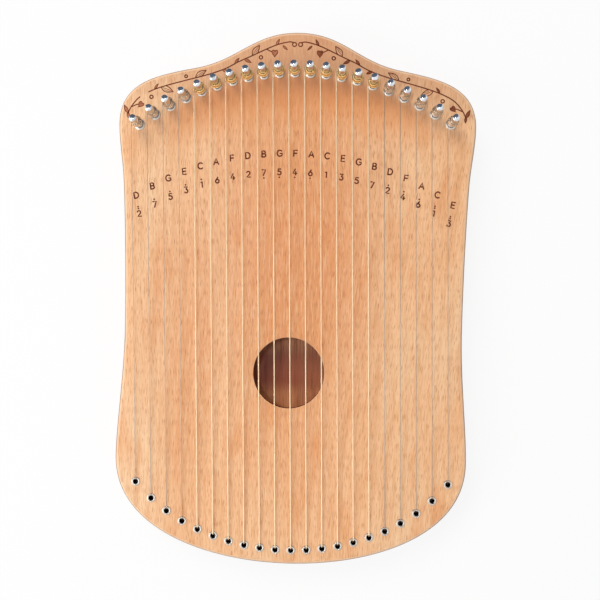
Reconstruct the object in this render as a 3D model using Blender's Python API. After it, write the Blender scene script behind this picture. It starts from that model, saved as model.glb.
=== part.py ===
"""A 21-string lap harp, lying on its back: metres, +Z up out of the soundboard, +Y towards the tuning pins.

The body is a shallow box. Two solid blocks and two bent side rails stand between a thin back board and the
soundboard, and two braces stiffen the soundboard from inside. Each string hangs by a ball end in the tail
block, comes up through an eyelet, runs free over the soundboard and winds round its own tuning pin.
The origin is the centre of the back face.
"""

from math import cos, pi, radians, sin, sqrt

import bpy
from mathutils import Matrix, Vector

MM = 0.001

# Body
BODY_LENGTH = 371.6 * MM
SHOULDER_WIDTH = 249.2 * MM
WAIST_WIDTH = 236.2 * MM
HIP_WIDTH = 246.0 * MM
BODY_DEPTH = 30.0 * MM
SOUNDBOARD_THICKNESS = 4.0 * MM
BACK_THICKNESS = 3.0 * MM
RAIL_WIDTH = 13.0 * MM
FRONT_EDGE_RADIUS = 2.6 * MM
BACK_EDGE_RADIUS = 1.8 * MM
GLUE_GAP = 0.3 * MM
OVERCUT = 2.0 * MM
OUTLINE_STEPS = 6

# Outline, as heights above or below the head, the foot and the middle of the body
SADDLE_HALF_SPREAD = 70.3 * MM
SADDLE_DROP = 25.1 * MM
SADDLE_SLOPE = radians(-11.6)
SHOULDER_DROP = 64.9 * MM
FLANK_DROP = 105.7 * MM
FLANK_INSET = 3.8 * MM
FLANK_SLOPE = radians(-93.1)
WAIST_Y = -22.0 * MM
HIP_RISE = 72.7 * MM

# Blocks and braces inside the body
PIN_BLOCK_LENGTH = 87.8 * MM
PIN_BLOCK_ARCH = 30.0 * MM
TAIL_BLOCK_LENGTH = 85.8 * MM
TAIL_BLOCK_ARCH = 50.0 * MM
BLOCK_EDGE_STEPS = 10
BRACE_WIDTH = 9.0 * MM
BRACE_HEIGHT = 12.0 * MM
BRACE_TIP_HEIGHT = 4.0 * MM
BRACE_TAPER = 38.0 * MM
BRACE_UPPER_SPACE = 56.0 * MM
BRACE_LOWER_SPACE = 12.0 * MM

# Sound hole
SOUND_HOLE_RADIUS = 24.8 * MM
SOUND_HOLE_X = -2.0 * MM
SOUND_HOLE_RISE = 134.3 * MM
SOUND_HOLE_SIDES = 48

# String layout: both rows bow, and the whole drilling is turned a little on the body
STRING_COUNT = 21
PIN_SIDE_MARGIN = 16.3 * MM
PIN_ROW_DROP = 28.0 * MM
PIN_ROW_BOW = 36.2 * MM
EYELET_SIDE_MARGIN = 13.8 * MM
EYELET_ROW_RISE = 10.2 * MM
EYELET_ROW_BOW = 47.2 * MM
EYELET_ROW_FULLNESS = 0.70
DRILLING_TURN = radians(0.95)
PIN_ROW_SHIFT = 0.5 * MM
EYELET_ROW_SHIFT = -0.9 * MM

# Tuning pins
PIN_RADIUS = 2.5 * MM
PIN_STAND = 22.8 * MM
PIN_SEAT = 17.5 * MM
PIN_HEAD_LENGTH = 8.5 * MM
PIN_HEAD_TIP_WIDTH = 4.3 * MM
PIN_CHAMFER = 0.5 * MM
PIN_SIDES = 16
PIN_EYE_RADIUS = 0.8 * MM
PIN_EYE_DROP = 1.7 * MM
PIN_HOLE_CLEARANCE = 0.15 * MM
PIN_HOLE_SIDES = 10
PIN_HOLE_EXTRA_DEPTH = 0.6 * MM

# Eyelets and string holes
EYELET_RADIUS = 2.9 * MM
EYELET_BORE = 1.75 * MM
EYELET_HEIGHT = 0.8 * MM
EYELET_CHAMFER = 0.5 * MM
EYELET_SINK = 0.5 * MM
EYELET_SIDES = 10
STRING_HOLE_RADIUS = 1.6 * MM
STRING_HOLE_SIDES = 6
BALL_RADIUS = 2.0 * MM
BALL_POCKET_CLEARANCE = 1.0 * MM
BALL_POCKET_DEPTH = 9.0 * MM
BALL_POCKET_SIDES = 8

# Strings: plain steel for the outer ones, bronze-wound for those in the middle
PLAIN_STRING_RADIUS = 0.22 * MM
WOUND_STRING_RADIUS = 0.45 * MM
PLAIN_LEFT = 4
PLAIN_RIGHT = 5
STRING_CLEARANCE = 0.2 * MM
WINDING_POINTS = 8
WINDING_STEPS = 18
# Room under the winding for the turns beneath it, which are left out here
WINDING_CLEARANCE = 0.6 * MM
WINDING_GAP = 0.6 * MM
EYE_TAIL = 1.0 * MM
BALL_STEPS = 4

HALF_LENGTH = BODY_LENGTH / 2
PIN_BLOCK_END = HALF_LENGTH - PIN_BLOCK_LENGTH
TAIL_BLOCK_END = TAIL_BLOCK_LENGTH - HALF_LENGTH
SOUNDBOARD_UNDERSIDE = BODY_DEPTH - SOUNDBOARD_THICKNESS
FRAME_BOTTOM = BACK_THICKNESS + GLUE_GAP
FRAME_TOP = SOUNDBOARD_UNDERSIDE - GLUE_GAP
PIN_SHOULDER = PIN_STAND - PIN_HEAD_LENGTH
PIN_EYE_HEIGHT = PIN_SHOULDER - PIN_EYE_DROP


def clear_scene():
    for obj in list(bpy.data.objects):
        bpy.data.objects.remove(obj, do_unlink=True)


def make_material(name, color, roughness, metallic=0.0):
    material = bpy.data.materials.new(name)
    material.use_nodes = True
    shader = material.node_tree.nodes["Principled BSDF"]
    shader.inputs["Base Color"].default_value = (*color, 1.0)
    shader.inputs["Roughness"].default_value = roughness
    shader.inputs["Metallic"].default_value = metallic
    return material


def make_materials():
    return {
        "beech": make_material("beech_satin_varnish", (0.72, 0.45, 0.25), 0.35),
        "red_wood": make_material("sapele_open_pore", (0.22, 0.09, 0.05), 0.55),
        "frame": make_material("beech_side_grain", (0.60, 0.36, 0.19), 0.45),
        "pin": make_material("nickelled_steel", (0.72, 0.73, 0.75), 0.18, 1.0),
        "steel": make_material("plain_steel_wire", (0.60, 0.60, 0.62), 0.28, 1.0),
        "bronze": make_material("bronze_wound_wire", (0.72, 0.47, 0.20), 0.32, 1.0),
    }


def add_object(name, mesh, material):
    obj = bpy.data.objects.new(name, mesh)
    mesh.materials.append(material)
    bpy.context.collection.objects.link(obj)
    return obj


def mesh_from(name, vertices, faces):
    mesh = bpy.data.meshes.new(name)
    mesh.from_pydata(vertices, [], faces)
    mesh.update()
    return mesh


def bezier(start, start_handle, end_handle, end):
    """Points along one cubic curve, without the last one, which starts the next curve."""
    points = []
    for step in range(OUTLINE_STEPS):
        t = step / OUTLINE_STEPS
        s = 1 - t
        points.append(s**3 * start + 3 * s * s * t * start_handle + 3 * s * t * t * end_handle + t**3 * end)
    return points


def direction(angle):
    return Vector((cos(angle), sin(angle)))


def right_outline():
    """The right half of the body, from the top of the crown down to the foot."""
    down = direction(-pi / 2)
    right = direction(0)
    knots = [
        # point, direction of travel, handle before it, handle after it
        (Vector((0, HALF_LENGTH)), right, 0, 31.0 * MM),
        (
            Vector((SADDLE_HALF_SPREAD, HALF_LENGTH - SADDLE_DROP)),
            direction(SADDLE_SLOPE),
            30.0 * MM,
            27.4 * MM,
        ),
        (Vector((SHOULDER_WIDTH / 2, HALF_LENGTH - SHOULDER_DROP)), down, 30.1 * MM, 12.5 * MM),
        (
            Vector((SHOULDER_WIDTH / 2 - FLANK_INSET, HALF_LENGTH - FLANK_DROP)),
            direction(FLANK_SLOPE),
            13.5 * MM,
            30.2 * MM,
        ),
        (Vector((WAIST_WIDTH / 2, WAIST_Y)), down, 30.1 * MM, 33.7 * MM),
        (Vector((HIP_WIDTH / 2, HIP_RISE - HALF_LENGTH)), down, 23.8 * MM, 50.2 * MM),
        (Vector((0, -HALF_LENGTH)), -right, 59.5 * MM, 0),
    ]
    points = []
    for (start, way, _, out), (end, end_way, back, _) in zip(knots, knots[1:]):
        points += bezier(start, start + way * out, end - end_way * back, end)
    return points + [Vector((0, -HALF_LENGTH))]


def body_outline():
    """The whole outline, anticlockwise seen from the front."""
    right = right_outline()
    left = [Vector((-p.x, p.y)) for p in right[1:-1]]
    return right[::-1] + left


def inset(outline, distance):
    """The closed outline moved inwards along the normals at its points."""
    moved = []
    for i, point in enumerate(outline):
        before = outline[i - 1]
        after = outline[(i + 1) % len(outline)]
        along = (after - before).normalized()
        moved.append(point + Vector((-along.y, along.x)) * distance)
    return moved


def half_width_at(y, distance=0.0):
    """Half the body's width at a height, inside a rim of the given width."""
    right = [p for p in inset(body_outline(), distance) if p.x > 0]
    for low, high in zip(right, right[1:]):
        if low.y <= y <= high.y:
            return low.x + (high.x - low.x) * (y - low.y) / (high.y - low.y)
    raise ValueError(f"the body has no side at y = {y}")


def stack(name, rings, material):
    """A closed solid from rings of equally many points, each ring given as (points, height)."""
    count = len(rings[0][0])
    vertices = [(p.x, p.y, height) for points, height in rings for p in points]
    faces = [list(range(count))[::-1], [len(vertices) - count + i for i in range(count)]]
    for level in range(len(rings) - 1):
        low = level * count
        for i in range(count):
            j = (i + 1) % count
            faces.append([low + i, low + j, low + count + j, low + count + i])
    return add_object(name, mesh_from(name, vertices, faces), material)


def circle(center, radius, sides):
    return [center + radius * direction(2 * pi * (i + 0.5) / sides) for i in range(sides)]


def turned_tool(name, centers, profile, sides):
    """One hidden tool: the same upright turned shape, given as (radius, height) pairs, at each center."""
    vertices = []
    faces = []
    for center in centers:
        first = len(vertices)
        for radius, height in profile:
            vertices += [(p.x, p.y, height) for p in circle(center, radius, sides)]
        faces.append([first + i for i in range(sides)][::-1])
        faces.append([len(vertices) - sides + i for i in range(sides)])
        for level in range(len(profile) - 1):
            low = first + level * sides
            for i in range(sides):
                j = (i + 1) % sides
                faces.append([low + i, low + j, low + sides + j, low + sides + i])
    tool = bpy.data.objects.new(name, mesh_from(name, vertices, faces))
    bpy.context.collection.objects.link(tool)
    hide_tool(tool)
    return tool


def bores(name, centers, radius, sides, bottom, top):
    """A tool for round holes whose flats, not their corners, lie at the given radius."""
    corner_radius = radius / cos(pi / sides)
    return turned_tool(name, centers, [(corner_radius, bottom), (corner_radius, top)], sides)


def hide_tool(obj):
    obj.hide_render = True
    obj.display_type = "WIRE"


def boolean(obj, tool, operation="DIFFERENCE"):
    modifier = obj.modifiers.new(tool.name, "BOOLEAN")
    modifier.operation = operation
    modifier.solver = "EXACT"
    modifier.object = tool


def smooth(mesh, angle=radians(40)):
    mesh.shade_smooth()
    mesh.set_sharp_from_angle(angle=angle)


def turned(point):
    """A point of the symmetric drilling plan, placed on the body."""
    return Matrix.Rotation(DRILLING_TURN, 2) @ point


def row_places():
    """Places along a row, from -1 at the left end to 1 at the right end."""
    return [2 * i / (STRING_COUNT - 1) - 1 for i in range(STRING_COUNT)]


def pin_centers():
    reach = SHOULDER_WIDTH / 2 - PIN_SIDE_MARGIN
    top = HALF_LENGTH - PIN_ROW_DROP
    return [
        turned(Vector((PIN_ROW_SHIFT + reach * t, top - PIN_ROW_BOW * t * t)))
        for t in row_places()
    ]


def eyelet_centers():
    reach = HIP_WIDTH / 2 - EYELET_SIDE_MARGIN
    foot = EYELET_ROW_RISE - HALF_LENGTH
    full_bow = 1 - sqrt(1 - EYELET_ROW_FULLNESS)
    centers = []
    for t in row_places():
        rise = EYELET_ROW_BOW * (1 - sqrt(1 - EYELET_ROW_FULLNESS * t * t)) / full_bow
        centers.append(turned(Vector((EYELET_ROW_SHIFT + reach * t, foot + rise))))
    return centers


def pin_bores(name, bottom):
    radius = PIN_RADIUS + PIN_HOLE_CLEARANCE
    return bores(name, pin_centers(), radius, PIN_HOLE_SIDES, bottom, BODY_DEPTH + OVERCUT)


def edge_rounding(outline, radius, flat_height, edge_height):
    """Rings that round the outline's edge over, from the side face to the flat face."""
    way = 1 if flat_height > edge_height else -1
    start = flat_height - way * radius
    rings = []
    for angle in (0, pi / 4, pi / 2):
        rings.append((inset(outline, radius * (1 - cos(angle))), start + way * radius * sin(angle)))
    return rings


def eyelet_rims(name):
    """The raised rims, solid until the bores go through them, and sunk a little into the board."""
    profile = [
        (EYELET_RADIUS, BODY_DEPTH - EYELET_SINK),
        (EYELET_RADIUS, BODY_DEPTH + EYELET_HEIGHT - EYELET_CHAMFER),
        (EYELET_RADIUS - EYELET_CHAMFER, BODY_DEPTH + EYELET_HEIGHT),
    ]
    return turned_tool(name, eyelet_centers(), profile, EYELET_SIDES)


def add_soundboard(materials):
    outline = body_outline()
    rings = [(outline, SOUNDBOARD_UNDERSIDE)]
    rings += edge_rounding(outline, FRONT_EDGE_RADIUS, BODY_DEPTH, SOUNDBOARD_UNDERSIDE)
    board = stack("soundboard", rings, materials["beech"])
    below = SOUNDBOARD_UNDERSIDE - OVERCUT
    above = BODY_DEPTH + OVERCUT
    hole = Vector((SOUND_HOLE_X, SOUND_HOLE_RISE - HALF_LENGTH))
    boolean(board, eyelet_rims("eyelet_rims"), "UNION")
    boolean(board, bores("eyelet_bores", eyelet_centers(), EYELET_BORE, EYELET_SIDES, below, above))
    boolean(board, pin_bores("soundboard_pin_bores", below))
    boolean(board, bores("sound_hole", [hole], SOUND_HOLE_RADIUS, SOUND_HOLE_SIDES, below, above))
    smooth(board.data)
    return board


def add_back_board(materials):
    outline = body_outline()
    rings = edge_rounding(outline, BACK_EDGE_RADIUS, 0, BACK_THICKNESS)[::-1]
    board = stack("back_board", rings + [(outline, BACK_THICKNESS)], materials["red_wood"])
    boolean(board, ball_pockets("back_ball_pockets", BACK_THICKNESS + OVERCUT))
    smooth(board.data)
    return board


def ball_pockets(name, top):
    radius = BALL_RADIUS + BALL_POCKET_CLEARANCE
    return bores(name, eyelet_centers(), radius, BALL_POCKET_SIDES, -OVERCUT, top)


def clipped(outline, low_y, high_y):
    """The points of one open side of the outline between two heights, with exact ends."""
    kept = []
    for start, end in zip(outline, outline[1:]):
        if low_y < start.y < high_y:
            kept.append(start)
        for y in (low_y, high_y):
            if min(start.y, end.y) < y < max(start.y, end.y):
                kept.append(start.lerp(end, (y - start.y) / (end.y - start.y)))
    return kept


def arch(half_span, end_y, height):
    """The inner edge of a block, bowed by the given height, from its left end to its right end."""
    points = []
    for step in range(BLOCK_EDGE_STEPS + 1):
        t = 2 * step / BLOCK_EDGE_STEPS - 1
        points.append(Vector((half_span * t, end_y + height * (1 - t * t))))
    return points


def block_prism(name, outline, materials):
    return stack(name, [(outline, FRAME_BOTTOM), (outline, FRAME_TOP)], materials["frame"])


def add_pin_block(materials):
    right = right_outline()
    side = [p for p in clipped(right, PIN_BLOCK_END, HALF_LENGTH + 1)][::-1]
    crown = [Vector((-p.x, p.y)) for p in side[::-1] if p.x > 0]
    inner = arch(half_width_at(PIN_BLOCK_END, RAIL_WIDTH), PIN_BLOCK_END, PIN_BLOCK_ARCH)
    block = block_prism("pin_block", side + crown + inner, materials)
    bottom = BODY_DEPTH - PIN_SEAT - PIN_HOLE_EXTRA_DEPTH
    boolean(block, pin_bores("block_pin_bores", bottom))
    smooth(block.data)
    return block


def add_tail_block(materials):
    right = right_outline()
    side = clipped(right, -HALF_LENGTH - 1, TAIL_BLOCK_END)
    foot = Vector((0, -HALF_LENGTH))
    left = [Vector((-p.x, p.y)) for p in side]
    inner = arch(half_width_at(TAIL_BLOCK_END, RAIL_WIDTH), TAIL_BLOCK_END, -TAIL_BLOCK_ARCH)
    block = block_prism("tail_block", left + [foot] + side[::-1] + inner[::-1], materials)
    top = BODY_DEPTH + OVERCUT
    holes = bores("string_bores", eyelet_centers(), STRING_HOLE_RADIUS, STRING_HOLE_SIDES, 0, top)
    boolean(block, holes)
    boolean(block, ball_pockets("block_ball_pockets", BALL_POCKET_DEPTH))
    smooth(block.data)
    return block


def add_rail(name, side, materials):
    """A bent side rail between the two blocks: side is 1 on the right and -1 on the left."""
    low = TAIL_BLOCK_END + GLUE_GAP
    high = PIN_BLOCK_END - GLUE_GAP
    outer = clipped(right_outline(), low, high)
    inner_line = [p for p in inset(body_outline(), RAIL_WIDTH) if p.x > 0]
    inner = clipped(inner_line, low, high)
    points = [Vector((side * p.x, p.y)) for p in outer[::-1] + inner[::-1]]
    if side < 0:
        points.reverse()
    rail = block_prism(name, points, materials)
    smooth(rail.data)
    return rail


def add_brace(name, y, materials):
    """A bar across the body under the soundboard, thinned towards both ends."""
    edges = [half_width_at(y + way * BRACE_WIDTH / 2, RAIL_WIDTH) for way in (-1, 0, 1)]
    end = min(edges) - GLUE_GAP
    side_view = [
        (-end, FRAME_TOP),
        (-end, FRAME_TOP - BRACE_TIP_HEIGHT),
        (-end + BRACE_TAPER, FRAME_TOP - BRACE_HEIGHT),
        (end - BRACE_TAPER, FRAME_TOP - BRACE_HEIGHT),
        (end, FRAME_TOP - BRACE_TIP_HEIGHT),
        (end, FRAME_TOP),
    ]
    count = len(side_view)
    front = [(x, y - BRACE_WIDTH / 2, z) for x, z in side_view]
    back = [(x, y + BRACE_WIDTH / 2, z) for x, z in side_view]
    faces = [list(range(count)), [count + i for i in range(count)][::-1]]
    for i in range(count):
        j = (i + 1) % count
        faces.append([i, count + i, count + j, j])
    return add_object(name, mesh_from(name, front + back, faces), materials["frame"])


def pin_section(width, radius):
    """A round bar's section, flattened on four sides where the given width is narrower than it."""
    points = []
    for i in range(PIN_SIDES):
        way = direction(2 * pi * i / PIN_SIDES)
        flat = width / 2 / max(abs(way.x), abs(way.y))
        points.append(min(radius, flat) * way)
    return points


def pin_rings():
    """A tuning pin about its own axis, from its tip in the wood, with height 0 at the soundboard."""
    full = 2 * PIN_RADIUS
    half_taper = full + (PIN_HEAD_TIP_WIDTH - full) / 2
    tip_radius = PIN_RADIUS - PIN_CHAMFER
    return [
        (pin_section(full, tip_radius), -PIN_SEAT),
        (pin_section(full, PIN_RADIUS), -PIN_SEAT + 2 * PIN_CHAMFER),
        (pin_section(full, PIN_RADIUS), PIN_SHOULDER),
        (pin_section(half_taper, PIN_RADIUS), PIN_SHOULDER + PIN_HEAD_LENGTH / 2),
        (pin_section(PIN_HEAD_TIP_WIDTH, PIN_RADIUS), PIN_STAND - PIN_CHAMFER),
        (pin_section(PIN_HEAD_TIP_WIDTH - PIN_CHAMFER, tip_radius), PIN_STAND),
    ]


def pin_mesh(material):
    """The pin with its eye bored across it along X."""
    blank = stack("pin_blank", pin_rings(), material)
    bpy.ops.mesh.primitive_cylinder_add(
        vertices=8,
        radius=PIN_EYE_RADIUS,
        depth=4 * PIN_RADIUS,
        location=(0, 0, PIN_EYE_HEIGHT),
        rotation=(0, pi / 2, 0),
    )
    eye = bpy.context.object
    eye.name = "pin_eye"
    boolean(blank, eye)
    evaluated = blank.evaluated_get(bpy.context.evaluated_depsgraph_get())
    mesh = bpy.data.meshes.new_from_object(evaluated)
    mesh.name = "tuning_pin"
    bpy.data.objects.remove(blank, do_unlink=True)
    bpy.data.objects.remove(eye, do_unlink=True)
    smooth(mesh, radians(30))
    return mesh


def winding_steps(number):
    """Each string is wound a little differently, so the pin heads do not all point the same way."""
    return WINDING_STEPS + number * 5 % 6


def winding_end_angle(number):
    return pi - 2 * pi * winding_steps(number) / WINDING_POINTS


def add_pins(materials):
    """Each pin is an object with its origin on its own axis, at the face of the soundboard."""
    mesh = pin_mesh(materials["pin"])
    for number, center in enumerate(pin_centers(), 1):
        pin = bpy.data.objects.new(f"tuning_pin_{number:02d}", mesh)
        pin.location = (center.x, center.y, BODY_DEPTH)
        pin.rotation_euler = (0, 0, winding_end_angle(number))
        bpy.context.collection.objects.link(pin)


def is_plain(number):
    return number <= PLAIN_LEFT or number > STRING_COUNT - PLAIN_RIGHT


def winding_points(number, center, wire):
    """From the left side of the pin, up round it clockwise, and into its eye."""
    reach = (PIN_RADIUS + WINDING_CLEARANCE + wire) / cos(pi / WINDING_POINTS)
    rise = (2 * wire + WINDING_GAP) / WINDING_POINTS
    steps = winding_steps(number)
    eye = BODY_DEPTH + PIN_EYE_HEIGHT
    points = []
    for step in range(steps + 1):
        side = center + reach * direction(pi - 2 * pi * step / WINDING_POINTS)
        points.append(Vector((*side, eye - (steps - step) * rise)))
    end = center - EYE_TAIL * direction(winding_end_angle(number))
    return points + [Vector((*end, eye))]


def eyelet_points(center, leaving, wire):
    """A quarter turn over the eyelet's rim on the side of the pin, from level to straight down."""
    way = (leaving.xy - center).normalized()
    clear = wire + STRING_CLEARANCE
    points = []
    for angle in (pi / 2, 3 * pi / 4, pi):
        side = center + (EYELET_BORE + clear * cos(angle)) * way
        points.append(Vector((*side, BODY_DEPTH + EYELET_HEIGHT + clear * sin(angle))))
    return points


def ball_points(center):
    """The string's lower end, with the ball's radius at each point, against the roof of its pocket."""
    middle = BALL_POCKET_DEPTH - GLUE_GAP - BALL_RADIUS
    points = []
    for step in range(1, BALL_STEPS + 1):
        angle = pi * step / (BALL_STEPS + 1)
        place = Vector((*center, middle + BALL_RADIUS * cos(angle)))
        points.append((place, BALL_RADIUS * sin(angle)))
    return points


def add_string(number, pin, eyelet, materials):
    wire = PLAIN_STRING_RADIUS if is_plain(number) else WOUND_STRING_RADIUS
    coil = winding_points(number, pin, wire)
    route = [(point, wire) for point in coil[::-1]]
    route += [(point, wire) for point in eyelet_points(eyelet, coil[0], wire)]
    neck = Vector((*eyelet, BALL_POCKET_DEPTH - GLUE_GAP + wire))
    route += [(neck, wire)] + ball_points(eyelet)
    material = materials["steel" if is_plain(number) else "bronze"]
    name = f"string_{number:02d}"
    curve = bpy.data.curves.new(name, "CURVE")
    curve.dimensions = "3D"
    curve.bevel_depth = wire
    curve.bevel_resolution = 1
    curve.use_fill_caps = True
    curve.materials.append(material)
    spline = curve.splines.new("POLY")
    spline.points.add(len(route) - 1)
    for spot, (place, radius) in zip(spline.points, route):
        spot.co = (*place, 1)
        spot.radius = radius / wire
    bpy.context.collection.objects.link(bpy.data.objects.new(name, curve))
    return least_gap(coil, wire)


def least_gap(points, wire):
    """The least clear distance between any two stretches of a winding that are not neighbours."""
    least = float("inf")
    for i, point in enumerate(points):
        for other in points[i + 3:]:
            least = min(least, (point - other).length - 2 * wire)
    return least


def add_strings(materials):
    gaps = []
    for number, (pin, eyelet) in enumerate(zip(pin_centers(), eyelet_centers()), 1):
        gaps.append(add_string(number, pin, eyelet, materials))
    print(f"least gap of a winding to itself: {min(gaps) / MM:.2f} mm")


def main():
    clear_scene()
    materials = make_materials()
    add_soundboard(materials)
    add_back_board(materials)
    add_pin_block(materials)
    add_tail_block(materials)
    add_rail("side_left", -1, materials)
    add_rail("side_right", 1, materials)
    add_brace("brace_upper", PIN_BLOCK_END - BRACE_UPPER_SPACE, materials)
    add_brace("brace_lower", TAIL_BLOCK_END + BRACE_LOWER_SPACE, materials)
    add_pins(materials)
    add_strings(materials)


main()
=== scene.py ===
"""The looks of the lap harp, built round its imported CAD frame.

Everything is in metres, with +Z up out of the soundboard and +Y towards the pins. The wooden parts, pins and
strings are repeated here from the same dimensions as in the CAD model, with smooth curves, real holes and
edges. The eyelets, pin bushings, ball ends and the burned ornament are added to them.
"""

from math import acos, ceil, cos, pi, radians, sin, sqrt

import bmesh
import bpy
from mathutils import Matrix, Vector
from mathutils.geometry import tessellate_polygon


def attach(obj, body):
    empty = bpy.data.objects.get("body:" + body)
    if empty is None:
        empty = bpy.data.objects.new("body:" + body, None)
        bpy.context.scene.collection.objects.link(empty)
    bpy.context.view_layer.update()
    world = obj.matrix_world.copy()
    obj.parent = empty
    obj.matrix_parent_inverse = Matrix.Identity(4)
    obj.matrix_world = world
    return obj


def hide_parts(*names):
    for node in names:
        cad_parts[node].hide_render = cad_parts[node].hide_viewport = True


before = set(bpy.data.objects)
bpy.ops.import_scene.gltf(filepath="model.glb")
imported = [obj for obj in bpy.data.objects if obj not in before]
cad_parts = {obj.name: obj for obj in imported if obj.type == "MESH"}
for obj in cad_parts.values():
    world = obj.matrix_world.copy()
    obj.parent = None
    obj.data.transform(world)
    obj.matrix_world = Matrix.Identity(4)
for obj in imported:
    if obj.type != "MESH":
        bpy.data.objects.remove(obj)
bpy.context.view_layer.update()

MM = 0.001

# Body, as in the CAD model, where the glue lines are wider gaps
BODY_LENGTH = 371.6 * MM
SHOULDER_WIDTH = 249.2 * MM
WAIST_WIDTH = 236.2 * MM
HIP_WIDTH = 246.0 * MM
BODY_DEPTH = 30.0 * MM
SOUNDBOARD_THICKNESS = 4.0 * MM
BACK_THICKNESS = 3.0 * MM
RAIL_WIDTH = 13.0 * MM
FRONT_EDGE_RADIUS = 2.6 * MM
BACK_EDGE_RADIUS = 1.8 * MM
GLUE_LINE = 0.05 * MM
GLUE_EDGE = 0.15 * MM
OUTLINE_STEPS = 36
ROUNDING_STEPS = 10

# Outline, as heights above or below the head, the foot and the middle of the body
SADDLE_HALF_SPREAD = 70.3 * MM
SADDLE_DROP = 25.1 * MM
SADDLE_SLOPE = radians(-11.6)
SHOULDER_DROP = 64.9 * MM
FLANK_DROP = 105.7 * MM
FLANK_INSET = 3.8 * MM
FLANK_SLOPE = radians(-93.1)
WAIST_Y = -22.0 * MM
HIP_RISE = 72.7 * MM

# Blocks inside the body
PIN_BLOCK_LENGTH = 87.8 * MM
PIN_BLOCK_ARCH = 30.0 * MM
TAIL_BLOCK_LENGTH = 85.8 * MM
TAIL_BLOCK_ARCH = 50.0 * MM
BLOCK_EDGE_STEPS = 48

# Sound hole and drilled holes
SOUND_HOLE_RADIUS = 24.8 * MM
SOUND_HOLE_X = -2.0 * MM
SOUND_HOLE_RISE = 134.3 * MM
SOUND_HOLE_SIDES = 144
HOLE_EDGE = 0.12 * MM
DRILLED_SIDES = 32
COUNTERSINK = 0.4 * MM

# String layout
STRING_COUNT = 21
PIN_SIDE_MARGIN = 16.3 * MM
PIN_ROW_DROP = 28.0 * MM
PIN_ROW_BOW = 36.2 * MM
EYELET_SIDE_MARGIN = 13.8 * MM
EYELET_ROW_RISE = 10.2 * MM
EYELET_ROW_BOW = 47.2 * MM
EYELET_ROW_FULLNESS = 0.70
DRILLING_TURN = radians(0.95)
PIN_ROW_SHIFT = 0.5 * MM
EYELET_ROW_SHIFT = -0.9 * MM

# Tuning pins; their heads taper less than the CAD model's, and they are threaded and domed
PIN_RADIUS = 2.5 * MM
PIN_STAND = 22.8 * MM
PIN_SEAT = 17.5 * MM
PIN_HEAD_LENGTH = 8.5 * MM
PIN_HEAD_TIP_WIDTH = 4.8 * MM
PIN_DOME_RADIUS = 4.6 * MM
PIN_DOME_ANGLE = radians(31)
PIN_EYE_RADIUS = 0.8 * MM
PIN_EYE_DROP = 1.7 * MM
PIN_HOLE_RADIUS = 2.65 * MM
PIN_HOLE_EXTRA_DEPTH = 0.6 * MM
THREAD_TOP = 3.2 * MM
# A real thread has a pitch of about 0.5 mm, which would not show; it is drawn coarser
THREAD_PITCH = 0.9 * MM
THREAD_DEPTH = 0.16 * MM

# Bushing round the foot of each pin
BUSHING_RADIUS = 3.75 * MM
BUSHING_BORE = 2.62 * MM
BUSHING_HEIGHT = 0.8 * MM
BUSHING_DEPTH = 3.0 * MM
BUSHING_SIDES = 48

# Eyelets, string holes and ball ends; flanges and holes are a little wider than the CAD model's
EYELET_RADIUS = 3.1 * MM
EYELET_BORE = 1.75 * MM
EYELET_HEIGHT = 0.8 * MM
EYELET_DEPTH = 5.5 * MM
EYELET_WALL = 0.2 * MM
EYELET_SIDES = 40
STRING_HOLE_RADIUS = 2.0 * MM
BALL_RADIUS = 2.0 * MM
BALL_BORE = 0.6 * MM
BALL_HALF_LENGTH = 1.5 * MM
BALL_LOOP_RADIUS = 0.3 * MM
BALL_SIDES = 32
BALL_POCKET_RADIUS = 3.0 * MM
BALL_POCKET_DEPTH = 9.0 * MM
BALL_SEAT_GAP = 0.3 * MM

# Strings
PLAIN_STRING_RADIUS = 0.22 * MM
WOUND_STRING_RADIUS = 0.45 * MM
PLAIN_LEFT = 4
PLAIN_RIGHT = 5
STRING_CLEARANCE = 0.05 * MM
STRING_SIDES = 10
WINDING_POINTS = 8
WINDING_STEPS = 18
# Turns in each layer of a winding, from the outermost one, which the string leaves, to the one on the pin;
# what is left of the whole number of turns lies on the pin
PLAIN_LAYERS = (1.5, 2.5)
WOUND_LAYERS = (1.5,)
PLAIN_EXTRA_TURNS = 5
WOUND_EXTRA_TURNS = 2
# Heights on the pin, measured down from its eye
LEAVING_DROP = 3.2 * MM
WINDING_DROP = 3.9 * MM
WINDING_TOP_DROP = 0.3 * MM
OUTER_LAYER_TOP_DROP = 1.6 * MM
COIL_SMOOTHNESS = 4
STUB_LENGTH = 1.2 * MM

# Burned letters, numerals and vine
BURN_HEIGHT = 0.035 * MM
BURN_SINK = 0.05 * MM
BURN_STEP = 0.0002 * MM
LETTER_HEIGHT = 4.1 * MM
NUMERAL_HEIGHT = 4.0 * MM
LETTER_STROKE = 1.02 * MM
SCALE_ROW_TOP = 101.6 * MM
SCALE_ROW_BOW = 28.6 * MM
SCALE_ROW_END_BOW = 4.0 * MM
SCALE_ROW_REACH = 110.4 * MM
SCALE_ROW_SHIFT = -1.8 * MM
SCALE_ROW_TURN = radians(-0.77)
LABEL_LEAN = radians(10.7)
NUMERAL_DROP = 13.0 * MM
OCTAVE_DOT = 0.60 * MM
OCTAVE_DOT_ABOVE = 1.55 * MM
OCTAVE_DOT_BELOW = 1.75 * MM
OCTAVE_DOT_STEP = 1.35 * MM
VINE_MIDDLE = -0.6 * MM
STEM_WIDTH = 0.84 * MM
TWIG_WIDTH = 0.9 * STEM_WIDTH
SOLID_LEAF_STROKE = 0.48 * MM
VEINED_LEAF_STROKE = 0.62 * MM
MIDRIB_STROKE = 0.36 * MM
SIDE_VEIN_STROKE = 0.30 * MM
STEM_GAP = (103.4 * MM, 109.3 * MM)

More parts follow.
